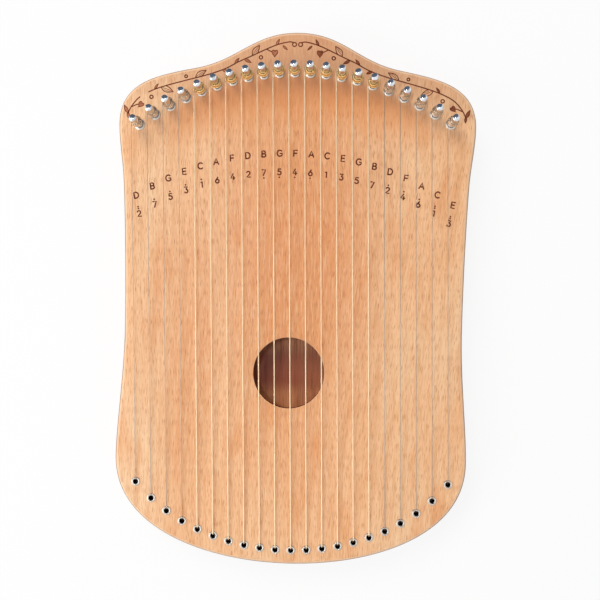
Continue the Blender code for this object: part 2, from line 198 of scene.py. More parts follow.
HALF_LENGTH = BODY_LENGTH / 2
PIN_BLOCK_END = HALF_LENGTH - PIN_BLOCK_LENGTH
TAIL_BLOCK_END = TAIL_BLOCK_LENGTH - HALF_LENGTH
SOUNDBOARD_UNDERSIDE = BODY_DEPTH - SOUNDBOARD_THICKNESS
PIN_SHOULDER = PIN_STAND - PIN_HEAD_LENGTH
PIN_EYE_HEIGHT = PIN_SHOULDER - PIN_EYE_DROP


# Camera, floor and light


def add_camera():
    """The photograph's viewpoint: above the middle, turned a little so that the body leans clockwise."""
    place = Vector((18.6, 6.4, 584.8)) * MM
    yaw = Matrix.Rotation(radians(-1.422), 3, "Y")
    pitch = Matrix.Rotation(radians(0.703), 3, "X")
    roll = Matrix.Rotation(radians(-1.213), 3, "Z")
    data = bpy.data.cameras.new("photo_camera")
    data.sensor_width = 36.0
    data.lens = 47.76
    data.clip_start = 0.02
    data.clip_end = 20.0
    camera = bpy.data.objects.new("photo_camera", data)
    camera.matrix_world = Matrix.Translation(place) @ (roll @ pitch @ yaw).transposed().to_4x4()
    bpy.context.scene.collection.objects.link(camera)
    bpy.context.scene.camera = camera


def add_lamp(name, place, size, power, hex_color, mirrored=True):
    """A square soft box that faces the middle of the harp; one that isn't mirrored gives no highlights."""
    data = bpy.data.lights.new(name, "AREA")
    data.size = size
    data.energy = power
    data.color = linear(hex_color)[:3]
    lamp = bpy.data.objects.new(name, data)
    lamp.location = place
    lamp.rotation_euler = (-Vector(place)).to_track_quat("-Z", "Y").to_euler()
    lamp.visible_glossy = mirrored
    bpy.context.scene.collection.objects.link(lamp)


def linear(hex_color):
    """An sRGB hex colour as linear red, green, blue and alpha."""
    channels = [int(hex_color[i:i + 2], 16) / 255 for i in (1, 3, 5)]
    return (*[c / 12.92 if c <= 0.04045 else ((c + 0.055) / 1.055) ** 2.4 for c in channels], 1.0)


def add_node(tree, kind, inputs, **settings):
    """Adds a node with its settings; an input takes a value or another node's output. Gives its outputs."""
    node = tree.nodes.new("ShaderNode" + kind)
    for key, value in settings.items():
        setattr(node, key, value)
    for key, value in inputs.items():
        if isinstance(value, bpy.types.NodeSocket):
            tree.links.new(value, node.inputs[key])
        else:
            node.inputs[key].default_value = value
    return node.outputs


def seen_directly(tree):
    """1 for rays from the camera, mirrors and glass, which show the white background, and 0 for light."""
    path = add_node(tree, "LightPath", {})
    seen = path["Is Camera Ray"]
    for ray in ("Is Glossy Ray", "Is Transmission Ray"):
        seen = add_node(tree, "Math", {0: seen, 1: path[ray]}, operation="MAXIMUM")[0]
    return seen


def add_world():
    """A plain studio: white all round, with a dark canopy above the head end that only mirrors see."""
    world = bpy.data.worlds.new("studio")
    bpy.context.scene.world = world
    world.use_nodes = True
    tree = world.node_tree
    tree.nodes.clear()
    sky = add_node(tree, "TexCoord", {})["Generated"]
    canopy = Vector((-0.15, 0.72, 0.67)).normalized()
    nearness = add_node(tree, "VectorMath", {0: sky, 1: canopy}, operation="DOT_PRODUCT")["Value"]
    edge = {"Value": nearness, "From Min": 0.65, "From Max": 0.75}
    dark = add_node(tree, "MapRange", edge, interpolation_type="SMOOTHSTEP")[0]
    colors = {0: dark, 6: linear("#FFFFFF"), 7: linear("#646D7C")}
    color = add_node(tree, "Mix", colors, data_type="RGBA")[2]
    shown = add_node(tree, "Background", {"Color": color, "Strength": 1.0})
    light = add_node(tree, "Background", {"Color": linear("#F4F7FF"), "Strength": 0.40})
    both = add_node(tree, "MixShader", {0: seen_directly(tree), 1: light[0], 2: shown[0]})
    add_node(tree, "OutputWorld", {"Surface": both[0]})


def add_floor():
    """A plain white floor that keeps a faint shadow, and is open to a look from below."""
    half = 4.0
    drop = -0.3 * MM
    mesh = bpy.data.meshes.new("floor")
    corners = [(-half, -half, drop), (half, -half, drop), (half, half, drop), (-half, half, drop)]
    mesh.from_pydata(corners, [], [(0, 1, 2, 3)])
    floor = bpy.data.objects.new("floor", mesh)
    bpy.context.scene.collection.objects.link(floor)
    material = bpy.data.materials.new("white_paper_sweep")
    material.use_nodes = True
    tree = material.node_tree
    tree.nodes.clear()
    paper = add_node(tree, "BsdfDiffuse", {"Color": linear("#F5F5F5")})
    white = add_node(tree, "Emission", {"Color": linear("#FFFFFF"), "Strength": 1.0})
    # The rest is real paper, which shows the shadow
    whiteness = add_node(tree, "Math", {0: seen_directly(tree), 1: 0.86}, operation="MULTIPLY")
    shown = add_node(tree, "MixShader", {0: whiteness[0], 1: paper[0], 2: white[0]})
    below = add_node(tree, "NewGeometry", {})["Backfacing"]
    clear = add_node(tree, "BsdfTransparent", {})
    both = add_node(tree, "MixShader", {0: below, 1: shown[0], 2: clear[0]})
    add_node(tree, "OutputMaterial", {"Surface": both[0]})
    mesh.materials.append(material)


def add_studio():
    bpy.context.scene.view_settings.view_transform = "Standard"
    add_world()
    add_floor()
    add_lamp("key_box", (-0.90, 1.70, 2.50), 1.50, 42.3, "#FFFBF4", mirrored=False)
    add_lamp("side_box", (-0.80, -0.30, 0.80), 0.50, 3.8, "#FFFFFF")
    add_lamp("top_lamp", (-0.16, 0.12, 1.50), 0.10, 2.6, "#FFFFFF")


# Materials


class Finish:
    """A material while it is made: its colour so far, and the place on the piece in mm along its own axes."""

    def __init__(self, name, ground):
        self.material = bpy.data.materials.new(name)
        self.material.use_nodes = True
        self.tree = self.material.node_tree
        self.tree.nodes.clear()
        self.color = linear(ground)
        metres = add_node(self.tree, "TexCoord", {})["Object"]
        scaled = add_node(self.tree, "VectorMath", {0: metres, 1: (1 / MM,) * 3}, operation="MULTIPLY")
        self.place = scaled[0]

    def figure(self, kind, size, **inputs):
        """A noise or cell pattern whose cells have a size in mm along X, Y and Z; wood grain runs along Y."""
        cells = {0: self.place, 1: [1 / length for length in size]}
        cells = add_node(self.tree, "VectorMath", cells, operation="MULTIPLY")[0]
        return add_node(self.tree, kind, {"Vector": cells, "Scale": 1.0, **inputs})

    def product(self, *factors):
        """The product of some factors: values, or soft steps given as (value, low, high, start, end), which
        give start where the value is below low and end where it is above high, or 0 and 1 if left out."""
        total = 1.0
        for factor in factors:
            if isinstance(factor, tuple):
                step = dict(zip(("Value", "From Min", "From Max", "To Min", "To Max"), factor))
                factor = add_node(self.tree, "MapRange", step, interpolation_type="SMOOTHSTEP")[0]
            total = add_node(self.tree, "Math", {0: total, 1: factor}, operation="MULTIPLY")[0]
        return total

    def lay(self, tint, *factors):
        """Lays another colour over the one so far, as thick as the product of the factors."""
        inputs = {0: self.product(*factors), 6: self.color, 7: linear(tint)}
        self.color = add_node(self.tree, "Mix", inputs, data_type="RGBA")[2]

    def done(self, inputs, relief=None):
        """The material with its shader's other inputs, and its relief as (height, strength, depth)."""
        if relief:
            bump = add_node(self.tree, "Bump", dict(zip(("Height", "Strength", "Distance"), relief)))
            inputs["Normal"] = bump[0]
        shader = add_node(self.tree, "BsdfPrincipled", {"Base Color": self.color, **inputs})
        add_node(self.tree, "OutputMaterial", {"Surface": shader[0]})
        return self.material


def distance_from(wood, center, scale):
    """How far a place on the wood is from a centre in mm, with X and Y each on a scale of its own."""
    offset = add_node(wood.tree, "VectorMath", {0: wood.place, 1: (*center, 0.0)}, operation="SUBTRACT")
    scaled = add_node(wood.tree, "VectorMath", {0: offset[0], 1: (*scale, 0.0)}, operation="MULTIPLY")
    return add_node(wood.tree, "VectorMath", {0: scaled[0]}, operation="LENGTH")["Value"]


def front_painted_light_and_shade(wood, across, height):
    """What only the front board shows: painted shade below the pins and towards the head end, and a painted
    highlight and painted shade on the rounded edge.
    """
    # Painted shade: below the pins a deeper orange stands for the pins' soft shadow; the band follows the bow
    # of the pins, 0.0031 mm down for each square mm out, and fades out to the sides
    square = wood.product(across, across)
    bow = add_node(wood.tree, "Math", {0: square, 1: 0.0031, 2: height}, operation="MULTIPLY_ADD")[0]
    sides = (square, 50.0**2, 108.0**2, 1.0, 0.25)
    wood.lay("#E4893A", (bow, 114.0, 149.0, 0.0, 0.66), (bow, 151.0, 159.0, 1.0, 0.0), sides)
    # Painted shade: the wood darkens towards the head end
    wood.lay("#CF9670", (height, 118.0, 175.0, 0.0, 0.55))
    # A painted highlight makes the crest of the rounded edge pale, and painted shade darkens the steep side
    # below it, both set by which way the surface faces
    normal = add_node(wood.tree, "NewGeometry", {})["Normal"]
    facing = add_node(wood.tree, "SeparateXYZ", {0: normal})["Z"]
    wood.lay("#FFDCB8", (facing, 0.72, 0.86), (facing, 0.95, 0.999, 0.55, 0.0))
    wood.lay("#7A5238", (facing, 0.01, 0.10), (facing, 0.58, 0.80, 0.90, 0.0))


def beech(name, light, warm, heart, dark, fleck, roughness, front=False):
    """Steamed beech, planed and sanded: fine straight fibres and short dark flecks of ray along the grain."""
    wood = Finish(name, light)
    tree = wood.tree
    parts = add_node(tree, "SeparateXYZ", {0: wood.place})
    # The grain wanders by a few millimetres over the length of the board, and leans a little on the right
    sway = wood.figure("TexNoise", (90, 150, 90), Detail=1.0)["Color"]
    sway = add_node(tree, "VectorMath", {0: sway, 1: (14.0, 0.0, 0.0)}, operation="MULTIPLY")[0]
    lean = wood.product((parts["X"], 0.0, 110.0, 0.0, -0.07), parts["Y"])
    lean = add_node(tree, "CombineXYZ", {"X": lean})[0]
    for shift in (sway, lean):
        wood.place = add_node(tree, "VectorMath", {0: wood.place, 1: shift}, operation="ADD")[0]
    # The middle of the board was nearer the heart of the tree and is a warmer brown, fading out to the sides,
    # with a weaker band of it on the left: centre, half width, half length, share
    core = 0.0
    for center, wide, far, most in (((9.0, 26.0), 78, 225, 0.90), ((-66.0, -45.0), 30, 190, 0.62)):
        patch = wood.product((distance_from(wood, center, (1 / wide, 1 / far)), 0.15, 1.25, most, 0.0))
        core = add_node(tree, "Math", {0: core, 1: patch}, operation="MAXIMUM")[0]
    outside = add_node(tree, "Math", {0: 1.0, 1: core}, operation="SUBTRACT")[0]
    wood.lay(heart, core)
    # Growth rings on the flat-sawn face: long nested arches some 7 mm apart
    arches = wood.product(distance_from(wood, (68.0, -190.0), (1.0, 0.13)), 2 * pi / 7.0)
    ring = add_node(tree, "Math", {0: arches}, operation="SINE")[0]
    wood.lay(dark, (ring, -0.4, 1.0, 0.0, 0.16))
    # Each layer of figure, from coarse to fine: width and length in mm, noise detail, the noise values
    # between which it sets in, its greatest share and its colour. Fibres are 0.02 mm wide; drawn 0.5 mm wide
    layers = (
        (45, 130, 3.0, 0.35, 0.70, 1.00, warm),
        (16, 60, 2.0, 0.52, 0.72, 0.50, heart),
        (3.5, 70, 2.0, 0.40, 0.75, 0.30, dark),
        (1.2, 18, 2.0, 0.46, 0.70, 0.40, light),
        (0.50, 12, 3.0, 0.44, 0.70, 0.36, dark),
        (0.50, 7.0, 1.0, 0.54, 0.70, 0.48, fleck),
    )
    for across, along, detail, low, high, most, tint in layers:
        noise = wood.figure("TexNoise", (across, along, across), Detail=detail)[0]
        wood.lay(tint, (noise, low, high, 0.0, most), outside if tint == warm else 1.0)
    # Rays: spindles 0.3 to 0.5 mm wide and 2 to 5 mm long
    marks = 0.0
    for across, along, edge in ((1.1, 10.0, 0.30), (0.9, 8.0, 0.27)):
        cells = wood.figure("TexVoronoi", (across, along, across))
        chance = add_node(tree, "SeparateColor", {0: cells["Color"]})[0]
        mark = wood.product((chance, 0.10, 0.80), (cells["Distance"], 0.06, edge, 1.0, 0.0))
        marks = add_node(tree, "Math", {0: marks, 1: mark}, operation="MAXIMUM")[0]
    wood.lay(fleck, marks, 0.60)
    # The front board's face also carries painted shade and a painted highlight
    if front:
        front_painted_light_and_shade(wood, parts["X"], parts["Y"])
    relief = add_node(tree, "Math", {0: noise, 1: marks}, operation="SUBTRACT")[0]
    inputs = {"Roughness": wood.product((noise, 0.3, 0.7, roughness, roughness + 0.08)), "IOR": 1.50}
    inputs |= {"Coat Weight": 0.12, "Coat Roughness": 0.36, "Coat IOR": 1.50}
    return wood.done(inputs, (relief, 0.35, 0.04 * MM))


def sapele(name):
    """Sapele, sanded and left open-pored: red-brown, with ribbons of darker grain and short dark pores;
    painted shade on the left and painted light in bars on the inside.
    """
    wood = Finish(name, "#A85030")
    tree = wood.tree
    parts = add_node(tree, "SeparateXYZ", {0: wood.place})
    ribbons = wood.figure("TexNoise", (5, 240, 5), Detail=3.0)[0]
    fibres = wood.figure("TexNoise", (0.6, 22, 0.6), Detail=4.0, Roughness=0.6)[0]
    # Pores are 0.2 mm wide; drawn 0.5 mm wide
    pore = wood.product((wood.figure("TexVoronoi", (1.1, 9, 1.1))["Distance"], 0.08, 0.22, 0.6, 0.0))
    # Painted shade darkens the board left of the middle, for the shadow of the soundboard's rim; on the
    # inside, painted light lies in lighter bars across the grain 50 mm apart, lightest at the top and bottom
    # of the sound hole
    wood.lay("#AE6339", (parts["X"], -18.0, 22.0))
    turns = add_node(tree, "Math", {0: parts["Y"], 1: 76.5}, operation="ADD")[0]
    painted_light_bars = add_node(tree, "Math", {0: wood.product(turns, 2 * pi / 50.0)}, operation="COSINE")[0]
    wood.lay("#E89A64", (painted_light_bars, -0.6, 1.0, 0.0, 0.90), (parts["Z"], 2.4, 2.8))
    wood.lay("#98502F", (ribbons, 0.36, 0.66, 0.0, 0.5))
    wood.lay("#7E3F26", (fibres, 0.42, 0.72, 0.0, 0.5))
    wood.lay("#5A2C20", pore)
    relief = add_node(tree, "Math", {0: fibres, 1: pore}, operation="SUBTRACT")[0]
    inputs = {"Roughness": wood.product((fibres, 0.3, 0.7, 0.45, 0.6)), "IOR": 1.50}
    return wood.done(inputs, (relief, 0.5, 0.06 * MM))


def turned_metal(name, bright, worn, polish):
    """Metal turned or pressed, then polished: faint turning lines round the axis, and duller smudges."""
    metal = Finish(name, bright)
    # Turning marks are some 0.02 mm apart; drawn 0.25 mm apart. Smudges are some 3 mm wide
    turning = metal.figure("TexNoise", (2.5, 2.5, 0.25), Detail=3.0)[0]
    smudges = metal.figure("TexNoise", (1, 1, 1), Scale=0.35, Detail=2.0)[0]
    metal.lay(worn, (smudges, 0.35, 0.7))
    inputs = {"Roughness": metal.product((turning, 0.3, 0.7, polish, polish + 0.1)), "Metallic": 1.0}
    return metal.done(inputs, (turning, 0.12, 0.02 * MM))


def string_wire(name, bright, dull, roughness, pitch, depth):
    """Music wire, drawn or wrapped: rings across the string, which are fine ridges where it is wrapped."""
    wire = Finish(name, bright)
    way = add_node(wire.tree, "Attribute", {}, attribute_name="along")["Fac"]
    ring = add_node(wire.tree, "Math", {0: wire.product(way, 2 * pi / pitch)}, operation="SINE")[0]
    wear = wire.figure("TexNoise", (2, 2, 2), Detail=3.0)[0]
    wire.lay(dull, (ring, -1.0, 1.0, 0.75, 0.0))
    wire.lay(dull, (wear, 0.5, 0.75, 0.0, 0.4))
    inputs = {"Roughness": wire.product((wear, 0.3, 0.7, roughness, roughness + 0.1)), "Metallic": 1.0}
    return wire.done(inputs, (ring, 0.6, depth))


def burned_wood(name, brown, light, black):
    """Beech scorched by a laser: matt brown char, darker where the beam stayed longer."""
    burn = Finish(name, brown)
    char = burn.figure("TexNoise", (1, 1, 1), Scale=0.35, Detail=3.0)[0]
    fibres = burn.figure("TexNoise", (0.4, 6, 0.4), Detail=2.0)[0]
    burn.lay(light, (char, 0.35, 0.7))
    burn.lay(black, (fibres, 0.5, 0.75, 0.0, 0.5))
    return burn.done({"Roughness": burn.product((char, 0.3, 0.7, 0.7, 0.9)), "Specular IOR Level": 0.15})


def make_materials():
    """The finish of each kind of surface."""
    # Pitch and depth of the rings. Drawing leaves steel wire nearly smooth, with faint rings, drawn 1.2 mm
    # apart. The bronze wrap is 0.15 mm thick; its ridges are drawn 0.5 mm apart
    drawn = (1.2 * MM, 0.004 * MM)
    wrapped = (0.5 * MM, 0.03 * MM)
    return {
        # A thin satin varnish keeps the face pale; the sides are waxed and darker
        "face": beech(
            "beech_satin_varnish", "#FED5A8", "#F8C08D", "#E39150", "#D38C50", "#B8622A", 0.40, front=True
        ),
        "edge": beech("beech_waxed_side", "#E8B98C", "#DBA271", "#D69C6A", "#C38655", "#9C5E38", 0.46),
        "sapele": sapele("sapele_open_pore"),
        # Polished plate is a cool mirror, and pressed plate a warmer satin one
        "nickel": turned_metal("nickel_plate_polished", "#DFE3E8", "#C6CBD2", 0.10),
        "pressed": turned_metal("nickel_satin_pressed", "#DAD3CA", "#C6BEB3", 0.34),
        # Down in the hole the eyelet's tube is painted nearly black as painted shade
        "tube": turned_metal("eyelet_tube_painted_shade", "#2A2623", "#191614", 0.5),
        "brass": turned_metal("brass_ball_end_turned", "#E3C078", "#B98E49", 0.25),
        "steel": string_wire("steel_music_wire_drawn", "#BFB0A2", "#95857A", 0.30, *drawn),
        "bronze": string_wire("bronze_wound_wire", "#FFEFD2", "#E6BC84", 0.42, *wrapped),
        # On the pins the wire is coloured warmer and more golden, a painted reflection of the brown of the
        # wood
        "steel_bend": string_wire("steel_music_wire_painted_reflection", "#F4DBBC", "#B98558", 0.36, *drawn),
        "bronze_bend": string_wire("bronze_wound_wire_painted_reflection", "#FFE2A2", "#CE8C44", 0.44, *wrapped),
        # The lines are burned dark; the filled leaves more lightly, on the right darker than on the left
        "burned": burned_wood("beech_laser_burned", "#5F281A", "#7C3C29", "#431A10"),
        "scorched": burned_wood("beech_laser_scorched", "#B0694B", "#C7825F", "#945038"),
        "charred": burned_wood("beech_laser_charred", "#85492F", "#9C5B40", "#6A3524"),
    }


# Shapes


def direction(angle):
    return Vector((cos(angle), sin(angle)))


def bezier(start, start_handle, end_handle, end):
    """Points along one cubic curve, without the last one, which starts the next curve."""
    points = []
    for step in range(OUTLINE_STEPS):
        t = step / OUTLINE_STEPS
        s = 1 - t
        points.append(s**3 * start + 3 * s * s * t * start_handle + 3 * s * t * t * end_handle + t**3 * end)
    return points


def right_outline():
    """The right half of the body, from the top of the crown down to the foot."""
    down = direction(-pi / 2)
    right = direction(0)
    saddle = Vector((SADDLE_HALF_SPREAD, HALF_LENGTH - SADDLE_DROP))
    shoulder = Vector((SHOULDER_WIDTH / 2, HALF_LENGTH - SHOULDER_DROP))
    flank = Vector((SHOULDER_WIDTH / 2 - FLANK_INSET, HALF_LENGTH - FLANK_DROP))
    knots = [
        # point, direction of travel, handle before it, handle after it in mm
        (Vector((0, HALF_LENGTH)), right, 0, 31.0),
        (saddle, direction(SADDLE_SLOPE), 30.0, 27.4),
        (shoulder, down, 30.1, 12.5),
        (flank, direction(FLANK_SLOPE), 13.5, 30.2),
        (Vector((WAIST_WIDTH / 2, WAIST_Y)), down, 30.1, 33.7),
        (Vector((HIP_WIDTH / 2, HIP_RISE - HALF_LENGTH)), down, 23.8, 50.2),
        (Vector((0, -HALF_LENGTH)), -right, 59.5, 0),
    ]
    points = []
    for (start, way, _, out), (end, end_way, back, _) in zip(knots, knots[1:]):
        points += bezier(start, start + way * out * MM, end - end_way * back * MM, end)
    return points + [Vector((0, -HALF_LENGTH))]


def mirrored(points):
    return [Vector((-p.x, p.y)) for p in points]


def body_outline():
    """The whole outline, anticlockwise seen from the front."""
    right = right_outline()
    return right[::-1] + mirrored(right[1:-1])


def inset(outline, distance):
    """The closed outline moved inwards along the normals at its points."""
    moved = []
    for i, point in enumerate(outline):
        along = (outline[(i + 1) % len(outline)] - outline[i - 1]).normalized()
        moved.append(point + Vector((-along.y, along.x)) * distance)
    return moved


def half_width_at(y, distance):
    """Half the body's width at a height, inside a rim of the given width."""
    right = [p for p in inset(body_outline(), distance) if p.x > 0]
    for low, high in zip(right, right[1:]):
        if low.y <= y <= high.y:
            return low.x + (high.x - low.x) * (y - low.y) / (high.y - low.y)


def circle(center, radius, sides):
    return [center + radius * direction(2 * pi * i / sides) for i in range(sides)]


def turned(point):
    """A point of the symmetric drilling plan, placed on the body."""
    return Matrix.Rotation(DRILLING_TURN, 2) @ point


def row_places():
    """Places along a row, from -1 at the left end to 1 at the right end."""
    return [2 * i / (STRING_COUNT - 1) - 1 for i in range(STRING_COUNT)]


def pin_centers():
    reach = SHOULDER_WIDTH / 2 - PIN_SIDE_MARGIN
    top = HALF_LENGTH - PIN_ROW_DROP
    return [turned(Vector((PIN_ROW_SHIFT + reach * t, top - PIN_ROW_BOW * t * t))) for t in row_places()]


def eyelet_centers():
    reach = HIP_WIDTH / 2 - EYELET_SIDE_MARGIN
    foot = EYELET_ROW_RISE - HALF_LENGTH
    full_bow = 1 - sqrt(1 - EYELET_ROW_FULLNESS)
    centers = []
    for t in row_places():
        rise = EYELET_ROW_BOW * (1 - sqrt(1 - EYELET_ROW_FULLNESS * t * t)) / full_bow
        centers.append(turned(Vector((EYELET_ROW_SHIFT + reach * t, foot + rise))))
    return centers


class Shape:
    """The vertices and faces of one piece while it is made, and how far along it each vertex lies."""

    def __init__(self):
        self.vertices = []
        self.faces = []
        self.along = []

    def loop(self, points, along=0.0):
        """Adds a ring of vertices, and gives their numbers."""
        first = len(self.vertices)
        self.vertices += [tuple(point) for point in points]
        self.along += [along] * len(points)
        return list(range(first, len(self.vertices)))

    def bridge(self, one, other):
        for i in range(len(one)):
            j = (i + 1) % len(one)
            self.faces.append((one[i], one[j], other[j], other[i]))

    def skin(self, rings):
        """Walls between rings of equally many points, each given as (flat points, height)."""
        loops = [self.loop([(p.x, p.y, height) for p in points]) for points, height in rings]
        for one, other in zip(loops, loops[1:]):
            self.bridge(one, other)
        return loops

    def fill(self, loops):
        """A flat face inside the first loop and outside the others."""
        corners = [number for loop in loops for number in loop]
        outlines = [[Vector(self.vertices[number]) for number in loop] for loop in loops]
        for triangle in tessellate_polygon(outlines):
            self.faces.append([corners[i] for i in triangle])

    def tube(self, path, radii, sides):
        """A round strand with closed ends along a path of points."""
        last = len(path) - 1
        across = Vector((0.3, 0.2, 1.0))
        rings = []
        length = 0.0
        for i, (point, radius) in enumerate(zip(path, radii)):
            ahead = (path[min(i + 1, last)] - path[max(i - 1, 0)]).normalized()
            across = (across - ahead * across.dot(ahead)).normalized()
            side = ahead.cross(across)
            length += (point - path[max(i - 1, 0)]).length
            ring = []
            for corner in range(sides):
                angle = 2 * pi * corner / sides
                ring.append(point + radius * (cos(angle) * across + sin(angle) * side))
            rings.append(self.loop(ring, length))
        for one, other in zip(rings, rings[1:]):
            self.bridge(one, other)
        self.faces.append(rings[0][::-1])
        self.faces.append(rings[-1])

    def mesh(self, name, sharp=40):
        """The finished mesh, with edges sharp where its faces meet at more than an angle in degrees."""
        mesh = bpy.data.meshes.new(name)
        mesh.from_pydata(self.vertices, [], self.faces)
        mesh.attributes.new("along", "FLOAT", "POINT").data.foreach_set("value", self.along)
        shell = bmesh.new()
        shell.from_mesh(mesh)
        bmesh.ops.recalc_face_normals(shell, faces=shell.faces)
        shell.to_mesh(mesh)
        shell.free()
        mesh.shade_smooth()
        mesh.set_sharp_from_angle(angle=radians(sharp))
        return mesh


def add_piece(name, mesh, material, body, stands_for=(), place=None, turn=0.0):
    """Puts a finished mesh on its body, gives it the material if it has none, and hides the CAD nodes that it
    stands for.
    """
    piece = bpy.data.objects.new(name, mesh)
    if not mesh.materials:
        mesh.materials.append(material)
    if place is not None:
        piece.location = place
        piece.rotation_euler = (0, 0, turn)
    bpy.context.scene.collection.objects.link(piece)
    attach(piece, body)
    if stands_for:
        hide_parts(*stands_for)
    return piece


def add_row(name, mesh, material, centers, height):
    """The same piece of the body at each of the centres, numbered from the left."""
    for number, center in enumerate(centers, 1):
        add_piece(f"{name}_{number:02d}", mesh, material, "body", place=(*center, height))


# Wooden body


def flat_faces(mesh):
    """Level faces are shaded flat, so that the wide boards stay plane up to their rounded edges."""
    for face in mesh.polygons:
        if abs(face.normal.z) > 0.9999:
            face.use_smooth = False


def board(name, rim, holes, material, node):
    """A closed board. rim goes from the lower face's edge outwards and up to the upper face's edge; each hole
    goes from the upper face down to the lower one, or to its own floor above it."""
    shape = Shape()
    rim_loops = shape.skin(rim)
    lower_face = [rim_loops[0]]
    upper_face = [rim_loops[-1]]
    for hole in holes:
        loops = shape.skin(hole)
        upper_face.append(loops[0])
        if hole[-1][1] > rim[0][1]:
            shape.fill([loops[-1]])
        else:
            lower_face.append(loops[-1])
    shape.fill(lower_face)
    shape.fill(upper_face)
    mesh = shape.mesh(name)
    flat_faces(mesh)
    return add_piece(name, mesh, material, "body", [node])


def rounded_edge(outline, radius, flat_height, edge_height):
    """Rings that round the outline's edge over, from the side face to the flat face."""
    way = 1 if flat_height > edge_height else -1
    start = flat_height - way * radius
    rings = []
    for step in range(ROUNDING_STEPS + 1):
        angle = pi / 2 * step / ROUNDING_STEPS
        rings.append((inset(outline, radius * (1 - cos(angle))), start + way * radius * sin(angle)))
    return rings


def drilled(center, steps, sides=DRILLED_SIDES):
    """A round hole from the top down, given as (radius, height) pairs."""
    return [(circle(center, radius, sides), height) for radius, height in steps]


def same_holes(centers, steps):
    return [drilled(center, steps) for center in centers]


def add_soundboard(materials):
    outline = body_outline()
    low = SOUNDBOARD_UNDERSIDE + GLUE_LINE
    top = BODY_DEPTH
    rim = [(inset(outline, GLUE_EDGE), low), (outline, low + GLUE_EDGE)]
    rim += rounded_edge(outline, FRONT_EDGE_RADIUS, top, low)
    sound_hole = Vector((SOUND_HOLE_X, SOUND_HOLE_RISE - HALF_LENGTH))
    edge_steps = [
        (SOUND_HOLE_RADIUS + HOLE_EDGE, top),
        (SOUND_HOLE_RADIUS + HOLE_EDGE * 0.3, top - HOLE_EDGE * 0.3),
        (SOUND_HOLE_RADIUS, top - HOLE_EDGE),
        (SOUND_HOLE_RADIUS, low),
    ]
    holes = [drilled(sound_hole, edge_steps, SOUND_HOLE_SIDES)]
    holes += same_holes(pin_centers(), [(PIN_HOLE_RADIUS, top), (PIN_HOLE_RADIUS, low)])
    holes += same_holes(eyelet_centers(), [(STRING_HOLE_RADIUS, top), (STRING_HOLE_RADIUS, low)])
    piece = board("front_board", rim, holes, materials["face"], "soundboard")
    # The wall of the sound hole was cut by the laser and is charred
    piece.data.materials.append(materials["burned"])
    for face in piece.data.polygons:
        if (face.center.xy - sound_hole).length < SOUND_HOLE_RADIUS + 0.02 * MM:
            face.material_index = 1


def add_back_board(materials):
    outline = body_outline()
    high = BACK_THICKNESS - GLUE_LINE
    rim = rounded_edge(outline, BACK_EDGE_RADIUS, 0, BACK_THICKNESS)[::-1]
    rim += [(outline, high - GLUE_EDGE), (inset(outline, GLUE_EDGE), high)]
    wide = BALL_POCKET_RADIUS + COUNTERSINK
    steps = [(BALL_POCKET_RADIUS, high), (BALL_POCKET_RADIUS, COUNTERSINK), (wide, 0)]
    holes = same_holes(eyelet_centers(), steps)
    board("rear_board", rim, holes, materials["sapele"], "back_board")


def eased_rim(outline):
    """The wall of a frame part between the boards, with its edges eased so that the glue lines show."""
    low = BACK_THICKNESS + GLUE_LINE
    high = SOUNDBOARD_UNDERSIDE - GLUE_LINE
    narrow = inset(outline, GLUE_EDGE)
    return [(narrow, low), (outline, low + GLUE_EDGE), (outline, high - GLUE_EDGE), (narrow, high)]


def clipped(outline, low_y, high_y):
    """The points of one open side of the outline between two heights, with exact ends."""
    kept = []
    for start, end in zip(outline, outline[1:]):
        if low_y < start.y < high_y:
            kept.append(start)
        for y in (low_y, high_y):
            if min(start.y, end.y) < y < max(start.y, end.y):
                kept.append(start.lerp(end, (y - start.y) / (end.y - start.y)))
    return kept


def arch(half_span, end_y, height):
    """The inner edge of a block, bowed by the given height, from its left end to its right end."""
    points = []
    for step in range(BLOCK_EDGE_STEPS + 1):
        t = 2 * step / BLOCK_EDGE_STEPS - 1
        points.append(Vector((half_span * t, end_y + height * (1 - t * t))))
    return points


def add_pin_block(materials):
    side = clipped(right_outline(), PIN_BLOCK_END, HALF_LENGTH + 1)[::-1]
    crown = mirrored([p for p in side[::-1] if p.x > 0])
    inner = arch(half_width_at(PIN_BLOCK_END, RAIL_WIDTH), PIN_BLOCK_END, PIN_BLOCK_ARCH)
    rim = eased_rim(side + crown + inner[1:-1])
    floor = BODY_DEPTH - PIN_SEAT - PIN_HOLE_EXTRA_DEPTH
    steps = [(PIN_HOLE_RADIUS, rim[-1][1]), (PIN_HOLE_RADIUS, floor)]
    holes = same_holes(pin_centers(), steps)
    board("head_block", rim, holes, materials["edge"], "pin_block")


def add_tail_block(materials):
    side = clipped(right_outline(), -HALF_LENGTH - 1, TAIL_BLOCK_END)
    foot = Vector((0, -HALF_LENGTH))
    inner = arch(half_width_at(TAIL_BLOCK_END, RAIL_WIDTH), TAIL_BLOCK_END, -TAIL_BLOCK_ARCH)
    rim = eased_rim(mirrored(side) + [foot] + side[::-1] + inner[1:-1][::-1])
    steps = [
        (STRING_HOLE_RADIUS, rim[-1][1]),
        (STRING_HOLE_RADIUS, BALL_POCKET_DEPTH),
        (BALL_POCKET_RADIUS, BALL_POCKET_DEPTH),
        (BALL_POCKET_RADIUS, rim[0][1]),
    ]
    holes = same_holes(eyelet_centers(), steps)
    board("foot_block", rim, holes, materials["edge"], "tail_block")


